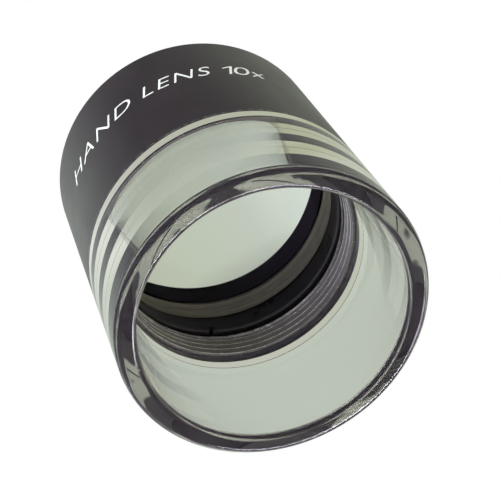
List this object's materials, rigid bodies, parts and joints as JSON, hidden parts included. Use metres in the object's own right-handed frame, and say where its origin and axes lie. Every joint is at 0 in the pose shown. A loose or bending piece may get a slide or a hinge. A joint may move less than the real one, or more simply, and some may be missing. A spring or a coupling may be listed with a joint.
{
  "type": "viewing loupe",
  "caption": "Hand-held viewing loupe: a black tube with a screw-focusing lens unit over a clear cylindrical skirt that stands on film or prints.",
  "frame": {"origin": "centre of the skirt's base plane, where the loupe stands on film or a print", "axes": "+Z along the optical axis, from the base towards the eye"},
  "size_m": [0.038, 0.038, 0.044],
  "materials": {
    "barrel_shell": "satin black anodised aluminium",
    "skirt": "polished clear acrylic",
    "damping_ring": "greased black rubber",
    "lens_tube": "matte black anodised aluminium",
    "retaining_ring": "matte black anodised aluminium",
    "front_lens": "polished coated optical glass",
    "spacer_ring": "turned, unpolished",
    "rear_crown": "polished optical glass",
    "rear_flint": "polished coated optical glass",
    "eye_ring": "satin black anodised aluminium"
  },
  "bodies": {
    "barrel": {"barrel_shell": "barrel_shell", "skirt": "skirt"},
    "damper": {"damping_ring": "damping_ring"},
    "lens_unit": {"lens_tube": "lens_tube", "retaining_ring": "retaining_ring", "front_lens": "front_lens", "spacer_ring": "spacer_ring", "rear_crown": "rear_crown", "rear_flint": "rear_flint", "eye_ring": "eye_ring"}
  },
  "joints": [
    {"name": "focus_travel", "type": "slide", "parent": "barrel", "child": "damper", "axis": [0, 0, 1], "range_m": [-0.0006, 0.0024]},
    {"name": "focus_turn", "type": "hinge", "parent": "damper", "child": "lens_unit", "pos_m": [0, 0, 0.0365], "axis": [0, 0, 1], "range_deg": [-70, 280]}
  ],
  "couplings": [
    {"joint": "focus_travel", "follows": "focus_turn", "m_per_rad": 0.00047746}
  ]
}
